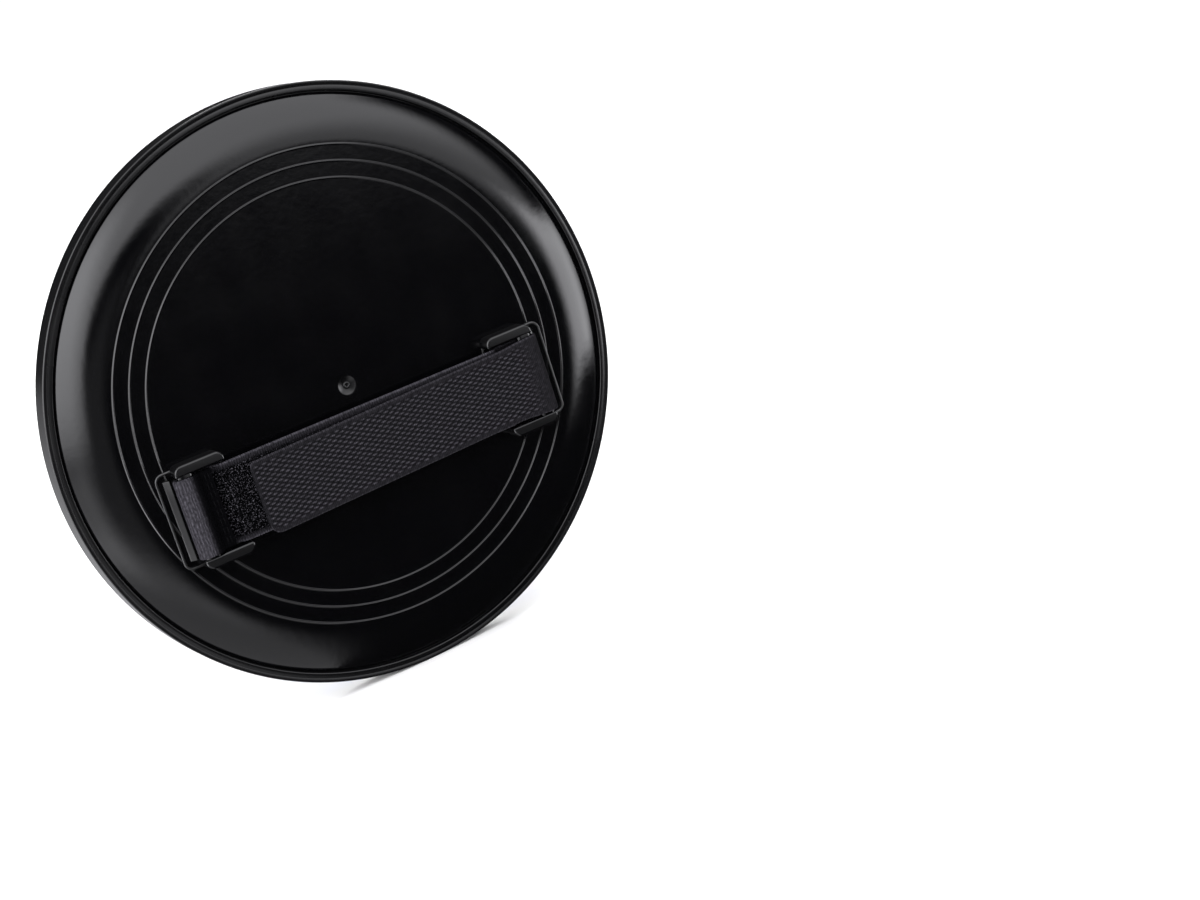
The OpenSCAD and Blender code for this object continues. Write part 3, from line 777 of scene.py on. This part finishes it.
# The stitches through the flap: two rows of black polyester thread across the tape, which close its loop
# round the first bar. Each stitch is half sunk in the weave.
STITCH_L = 2.2
STITCH_PITCH = 3.0
STITCH_X = (54.9, 53.7)
STITCH_Y = 4.6
STITCH_ARCH = 0.3
STITCH_R = 0.25
STITCH_COUNT = 8
STITCH_POINTS = 9

# Black polyester thread: dull, with its plies just lighter than black; its near-black tone is partly the
# thread's own and partly painted shade in the trough under the roll.
black_thread = plied_thread("black_polyester_thread", (PLY_SLANT, 0.0, 0.0), "Z", "#020203", "#0a0a0c",
                            Roughness=0.6, Specular_IOR_Level=0.04)
reach = np.linspace(-0.5, 0.5, STITCH_POINTS)
stitch_parts = []
for row_x in STITCH_X:
    for step in np.arange(STITCH_COUNT) - (STITCH_COUNT - 1) / 2:
        path = np.column_stack([np.full(STITCH_POINTS, row_x), STITCH_Y + STITCH_ARCH * np.cos(np.pi * reach),
                                STRAP_Z + step * STITCH_PITCH + STITCH_L * reach])
        stitch_parts.append(tube(path, STITCH_R))
stitches = new_piece("flap_stitches", *joined(*stitch_parts), black_thread)
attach(stitches, "paddle")
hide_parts("strap_stitches")

# The hook tape tab: black woven nylon that comes round the second bar and lies back along the strap, hooks
# down. Its back shows a honeycomb of short raised dashes between plain margins.
TAB_W = 24.5
TAB_T = 1.3
TAB_END_X = 41.0
TAB_R = (3.6, 1.6)
TAB_Y = 6.8
TAB_ACROSS = (130, 32)
LAP_X = -54.0
PEEL_RUN = 8.0
TAB_SKEW = np.tan(np.radians(1.4))
FOLD_T = 1.6
FOLD_RUN = 10.4
NARROW_X = (-62, -50)
THIN_X = (-62, -54)
WEAVE_X = (-62.5, -54)
WEAVE_FROM_EDGE = (1.1, 2.3)
WEAVE_FROM_END = (0.5, 1.3)
EDGE_ROUND = 0.6
DASH_PITCH = (1.6, 1.71)
DASH_HALF = (0.8, 0.27)
DASH_H = 0.26
DASH_RANGE = (0.08, 0.95)
DASH_GROUND = 0.24
DASH_PIT = 0.1
PIT_RANGE = (0, 0.12)
MARGIN_PALENESS = 0.2
EDGE_PALENESS = 0.45
EDGE_FADE = (0.7, 0.3)
EDGE_LOOP_MM = 1.3


def dashes(u, v):
    """Honeycomb relief: a bell-shaped dash along the tape at each point of columns across it, which are set
    off by half a pitch in turn; each place adds up the nine nearest dashes."""
    column = np.round(u / DASH_PITCH[0])
    height = 0
    for number in (column - 1, column, column + 1):
        offset = 0.5 * (number % 2)
        nearest = np.round(v / DASH_PITCH[1] - offset) + offset
        for place in (nearest - 1, nearest, nearest + 1):
            from_u = u - number * DASH_PITCH[0]
            from_v = v - place * DASH_PITCH[1]
            height = height + np.exp(-(from_u / DASH_HALF[0]) ** 2 - (from_v / DASH_HALF[1]) ** 2)
    return smooth_step(height, *DASH_RANGE)


tab_line = np.concatenate([
    [[TAPE_END_X, UNDER_Y]], arc(-BAR_END[0], BAR_Y, WRAP_R, 270, 90, 20), [[TAB_END_X, TAB_Y]]])
tab_path, tab_at = even_path(tab_line, PATH_STEP)
tab_left = side_normals(tab_path)
tab_x = np.where(tab_at > FOLD_RUN, tab_path[:, 0], -2 * BAR_END[0])
half = (TAPE_W + (TAB_W - TAPE_W) * smooth_step(tab_x, *NARROW_X)) / 2
corner = [r - np.sqrt(r ** 2 - np.clip(tab_x - (TAB_END_X - r), 0, r) ** 2) for r in TAB_R]
half_t = (FOLD_T + (TAB_T - FOLD_T) * smooth_step(tab_x, *THIN_X))[:, None] / 2
shift = -TAB_SKEW * np.maximum(tab_x - LAP_X, 0)
upper = np.linspace(-1, 1, TAB_ACROSS[0])
lower = np.linspace(1, -1, TAB_ACROSS[1])[1:-1]
across = np.concatenate([upper, lower])[None, :]
count = across.size
low, high = corner[0] - half, half - corner[1]
wide = (low + high)[:, None] / 2 + (high - low)[:, None] / 2 * across
from_edge = np.minimum(wide - low[:, None], high[:, None] - wide)
round_edge = np.sqrt(1 - np.clip(1 - from_edge / EDGE_ROUND, 0, 1) ** 2)
back_side = np.arange(count)[None, :] < len(upper)
woven = smooth_step(tab_x, *WEAVE_X)[:, None] * smooth_step(from_edge, *WEAVE_FROM_EDGE)
woven = woven * smooth_step(TAB_END_X - tab_x, *WEAVE_FROM_END)[:, None]
dash = dashes(tab_at[:, None], wide)
weave_h = DASH_H * woven * (dash - 0.5)
# A row of pale loops along each edge, which is also a painted highlight on the rounded edge.
edge_loops = 0.6 + 0.4 * np.cos(2 * np.pi * tab_at / EDGE_LOOP_MM)
margin = MARGIN_PALENESS + EDGE_PALENESS * smooth_step(from_edge, *EDGE_FADE) * edge_loops[:, None]
# Painted shade: the pits between the dashes are painted darker than the ground.
out_of_pit = (DASH_GROUND - DASH_PIT) * smooth_step(dash, *PIT_RANGE)
weave_paleness = DASH_PIT + out_of_pit + (1 - DASH_GROUND) * dash
paleness = np.where(back_side, woven * weave_paleness + (1 - woven) * margin, margin)
offset = np.where(back_side, half_t * round_edge + weave_h, -half_t * round_edge)
flat = tab_path[:, None] + tab_left[:, None] * offset[..., None]
tab_points = np.stack([flat[..., 0], flat[..., 1], STRAP_Z + shift[:, None] + wide], axis=-1).reshape(-1, 3)
tab_faces = grid_faces(len(tab_path), count, close_columns=True).tolist()
tab_faces += end_caps(len(tab_path), count)
tab_faces = [face[::-1] for face in tab_faces]

# Woven nylon back of hook tape: dull black in blotches, palest on the raised dashes, and darkest in the pits
# between them, which is painted shade, with a row of pale loops along each edge that is also a painted
# highlight.
TAB_WEFT_MM = 0.6
TAB_BLOTCH_MM = 1.2
tab_nylon, tree, shader = new_material("black_woven_nylon_hook_tape", Roughness=0.7, Specular_IOR_Level=0.02)
lay = add(tree, "ShaderNodeUVMap", {}, uv_map="tape").outputs["UV"]
weft = add(tree, "ShaderNodeTexWave", {"Vector": lay, "Scale": WAVE_TURN / (TAB_WEFT_MM * MM),
                                       "Distortion": 1.0, "Detail": 1.0})
blotch = add(tree, "ShaderNodeTexNoise", {"Vector": lay, "Scale": 1 / (TAB_BLOTCH_MM * MM), "Detail": 4.0})
pale = add(tree, "ShaderNodeAttribute", {}, attribute_name="paleness").outputs["Fac"]
thread = add(tree, "ShaderNodeMapRange", {"Value": weft.outputs["Fac"], "To Min": 0.6, "To Max": 1.0})
paleness_with_painted_light = add(tree, "ShaderNodeMath", {0: pale, 1: thread.outputs["Result"]}, operation="MULTIPLY")
patch = add(tree, "ShaderNodeMapRange", {"Value": blotch.outputs["Fac"], "From Min": 0.25, "From Max": 0.75,
                                         "To Min": 0.45, "To Max": 1.55})
paleness_with_painted_light = add(tree, "ShaderNodeMath", {0: paleness_with_painted_light.outputs["Value"], 1: patch.outputs["Result"]},
             operation="MULTIPLY")
colour = add(tree, "ShaderNodeMix", {0: paleness_with_painted_light.outputs["Value"], 6: linear("#050506"), 7: linear("#424045")},
             data_type="RGBA")
tree.links.new(colour.outputs[2], shader.inputs["Base Color"])
relief = add(tree, "ShaderNodeBump", {"Height": weft.outputs["Fac"], "Strength": 0.5, "Distance": 0.0002})
tree.links.new(relief.outputs["Normal"], shader.inputs["Normal"])
tab = new_piece("hook_tab_tape", tab_points, tab_faces, tab_nylon, crease=60)
give_uv(tab, np.repeat(tab_at, count), wide.ravel())
tab.data.attributes.new("paleness", "FLOAT", "POINT").data.foreach_set("value", paleness.ravel())
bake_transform(tab)
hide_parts("hook_tab")

# The tab's own hooks, on the side that presses into the pile: black nylon monofilament, woven in as loops in
# rows along the tape and cut open. They are smooth and a little glossy, from black to dark grey.
TAB_HOOK_PITCH = (1.25, 1.5)
TAB_HOOK_CLEAR = (0.5, 2.0)
TAB_HOOK_ROWS = 7
TAB_HOOK_SCATTER = (0.2, 0.15)
TAB_HOOK_TWIST = 0.4
TAB_HOOK_ARCH = HOOK_ARCH * 0.7
TAB_HOOK_WIRE_R = 0.1
TAB_HOOK_BLOTCH_MM = 3
tab_hook_nylon = blotched_nylon("black_nylon_tab_hooks", TAB_HOOK_BLOTCH_MM, "#161618", "#37373b",
                                Roughness=0.35, IOR=1.53)
hooks_from, hooks_to = LAP_X + PEEL_RUN + TAB_HOOK_CLEAR[0], TAB_END_X - TAB_HOOK_CLEAR[1]
x, across = np.meshgrid(np.arange(hooks_from, hooks_to, TAB_HOOK_PITCH[0]),
                        np.arange(-TAB_HOOK_ROWS, TAB_HOOK_ROWS + 1) * TAB_HOOK_PITCH[1], indexing="ij")
x = x.ravel() + random.uniform(-TAB_HOOK_SCATTER[0], TAB_HOOK_SCATTER[0], x.size)
across = across.ravel() + random.uniform(-TAB_HOOK_SCATTER[1], TAB_HOOK_SCATTER[1], across.size)
turn = random.normal(0, TAB_HOOK_TWIST, len(x))
side = np.where(random.random(len(x)) < 0.5, -1.0, 1.0)
feet = np.column_stack([x, np.full(len(x), TAB_Y - TAB_T / 2), STRAP_Z - TAB_SKEW * (x - LAP_X) + across])
lean = np.column_stack([np.sin(turn), np.zeros(len(x)), side * np.cos(turn)])
rise = np.broadcast_to([0.0, -1.0, 0.0], lean.shape)
tab_hooks = new_piece("hook_tab_hooks", *filaments(feet, lean, rise, TAB_HOOK_ARCH, TAB_HOOK_WIRE_R),
                      tab_hook_nylon, crease=180)
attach(tab_hooks, "tab")

# The studio: a pale floor under the rim in a white tent, soft boxes of light all round with a dark gap about
# the camera and a dimmer one behind the rim, two lamps for the face, and the camera. Only the camera sees
# the tent, and the gloss mirrors neither it nor the floor. The rim and raised lines place the camera.
FLOOR_HALF = 4000.0
TENT_R = 5000.0
floor_paper, tree, shader = new_material("pale_studio_paper", Base_Color=linear("#f6f6f4"), Roughness=0.9)
corners = np.array([[-1, -1], [1, -1], [1, 1], [-1, 1]]) * FLOOR_HALF
floor = new_piece("floor", np.column_stack([corners, np.full(4, -OUTER_R)]), [[0, 1, 2, 3]], floor_paper)
floor.visible_glossy = False
tent_cloth, tree, shader = new_material(
    "white_tent_cloth", Base_Color=linear("#000000"), Emission_Color=linear("#ffffff"), Emission_Strength=1.0)
tent = new_piece("tent", *turned(arc(0, 0, TENT_R, 90, -90, 24), 48), tent_cloth)
tent.visible_glossy = tent.visible_diffuse = tent.visible_shadow = False

world = bpy.data.worlds.new("studio")
bpy.context.scene.world = world
world.use_nodes = True
tree = world.node_tree
direction = add(tree, "ShaderNodeTexCoord", {}).outputs["Generated"]
way = add(tree, "ShaderNodeSeparateXYZ", {"Vector": direction}).outputs
turn = add(tree, "ShaderNodeMath", {0: way["X"], 1: way["Y"]}, operation="ARCTAN2").outputs["Value"]
height = add(tree, "ShaderNodeMath", {0: way["Z"]}, operation="ARCSINE").outputs["Value"]


def total(*lights):
    """Sum of several lights, each a socket or a level."""
    added = lights[0]
    for light in lights[1:]:
        added = add(tree, "ShaderNodeMath", {0: added, 1: light}, operation="ADD").outputs["Value"]
    return added


def soft_step(value, start, end):
    """A socket that goes from 0 at the start to 1 at the end in an even S; the end may be the lower one."""
    return add(tree, "ShaderNodeMapRange", {"Value": value, "From Min": start, "From Max": end},
               interpolation_type="SMOOTHSTEP").outputs["Result"]


def soft_box(level, turns, heights):
    """Light of a soft-edged box in the sky: for each angle, degrees where it begins, is full, fades, ends."""
    share = level
    for angle, edges in ((turn, turns), (height, heights)):
        begin, full, fade, end = np.radians(edges).tolist()
        for step in (soft_step(angle, begin, full), soft_step(angle, end, fade)):
            share = add(tree, "ShaderNodeMath", {0: share, 1: step}, operation="MULTIPLY").outputs["Value"]
    return share


def dark_gap(middle, dark, clear):
    """A socket that is 0 within one angle of a direction and 1 past a larger angle, both in degrees."""
    close = add(tree, "ShaderNodeVectorMath", {0: direction, 1: middle}, operation="DOT_PRODUCT")
    return soft_step(close.outputs["Value"], *np.cos(np.radians([dark, clear])).tolist())


# Turn runs from +Y towards +X, height from the horizon up.
CAMERA_GAP = (0.087, 0.994, 0.070)
RIM_GAP = (0.0, -0.985, 0.174)
BEHIND_Y = (-0.15, -0.5)
ALL_ROUND = (-200, -190, 190, 200)
above = total(
    soft_box(1.05, (-82, -56, 75, 105), (-7, 1, 100, 110)),
    soft_box(1.15, (-82, -56, 75, 105), (2, 32, 100, 110)),
    soft_box(2.2, (-110, -100, -82, -56), (38, 52, 100, 110)),
    soft_box(2.4, (12, 45, 105, 125), (-12, 12, 38, 65)))
above = add(tree, "ShaderNodeMath", {0: above, 1: dark_gap(CAMERA_GAP, 12, 24)}, operation="MULTIPLY")
near_floor = total(
    0.02,
    soft_box(0.22, ALL_ROUND, (-110, -100, -0.5, 3.5)),
    soft_box(0.36, ALL_ROUND, (-110, -100, -14, 1)))
lit = add(tree, "ShaderNodeMath", {0: dark_gap(RIM_GAP, 26, 42), 1: near_floor}, operation="MAXIMUM")
behind = add(tree, "ShaderNodeMath", {0: soft_step(way["Y"], *BEHIND_Y), 1: lit.outputs["Value"]},
             operation="MULTIPLY")
sky = total(
    above.outputs["Value"], behind.outputs["Value"], 0.014,
    soft_box(0.2, (-12, 4, 45, 62), (-42, -27, 2, 12)),
    soft_box(1.15, (22, 56, 85, 100), (-40, -24, -12, -2)),
    soft_box(4.5, (70, 80, 105, 118), (-45, -32, -8, 2)),
    soft_box(4.2, (-106, -78, -58, -37), (-22, -17, 0, 4)),
    soft_box(0.7, (-15, 5, 110, 140), (-110, -100, -30, -16)))
tree.nodes["Background"].inputs["Color"].default_value = linear("#fbfbff")
tree.links.new(sky, tree.nodes["Background"].inputs["Strength"])


def stand(name, data, right, up, place):
    """Links a lamp or a camera at its place, from its axes to the right and up; it looks along its own -Z."""
    axes = np.column_stack([right, up, np.cross(right, up), place])
    holder = bpy.data.objects.new(name, data)
    holder.matrix_world = Matrix(np.vstack([axes, [0, 0, 0, 1]]).tolist())
    bpy.context.scene.collection.objects.link(holder)
    return holder


for name, position, size, radiance in (
        ("front_key", (-0.7, -1.2, 1.2), (1.0, 1.0), 5.0),
        ("front_fill", (1.2, -1.2, 0.3), (0.8, 1.0), 2.5)):
    lamp = bpy.data.lights.new(name, "AREA")
    lamp.shape = "RECTANGLE"
    lamp.size, lamp.size_y = size
    lamp.energy = np.pi * size[0] * size[1] * radiance
    back = np.array(position) / np.linalg.norm(position)
    right = np.cross([0, 0, 1], back)
    right = right / np.linalg.norm(right)
    stand(name, lamp, right, np.cross(back, right), position)

CAMERA_RIGHT = (-0.8384, 0.4591, -0.2949)
CAMERA_UP = (-0.3715, -0.0841, 0.9249)
CAMERA_PLACE = (0.2568, 0.7385, 0.1481)
LENS_MM = 75
SENSOR_MM = 36
lens = bpy.data.cameras.new("photo_camera")
lens.lens = LENS_MM
lens.sensor_width = SENSOR_MM
bpy.context.scene.camera = stand("photo_camera", lens, CAMERA_RIGHT, CAMERA_UP, CAMERA_PLACE)
bpy.context.scene.view_settings.view_transform = "Standard"
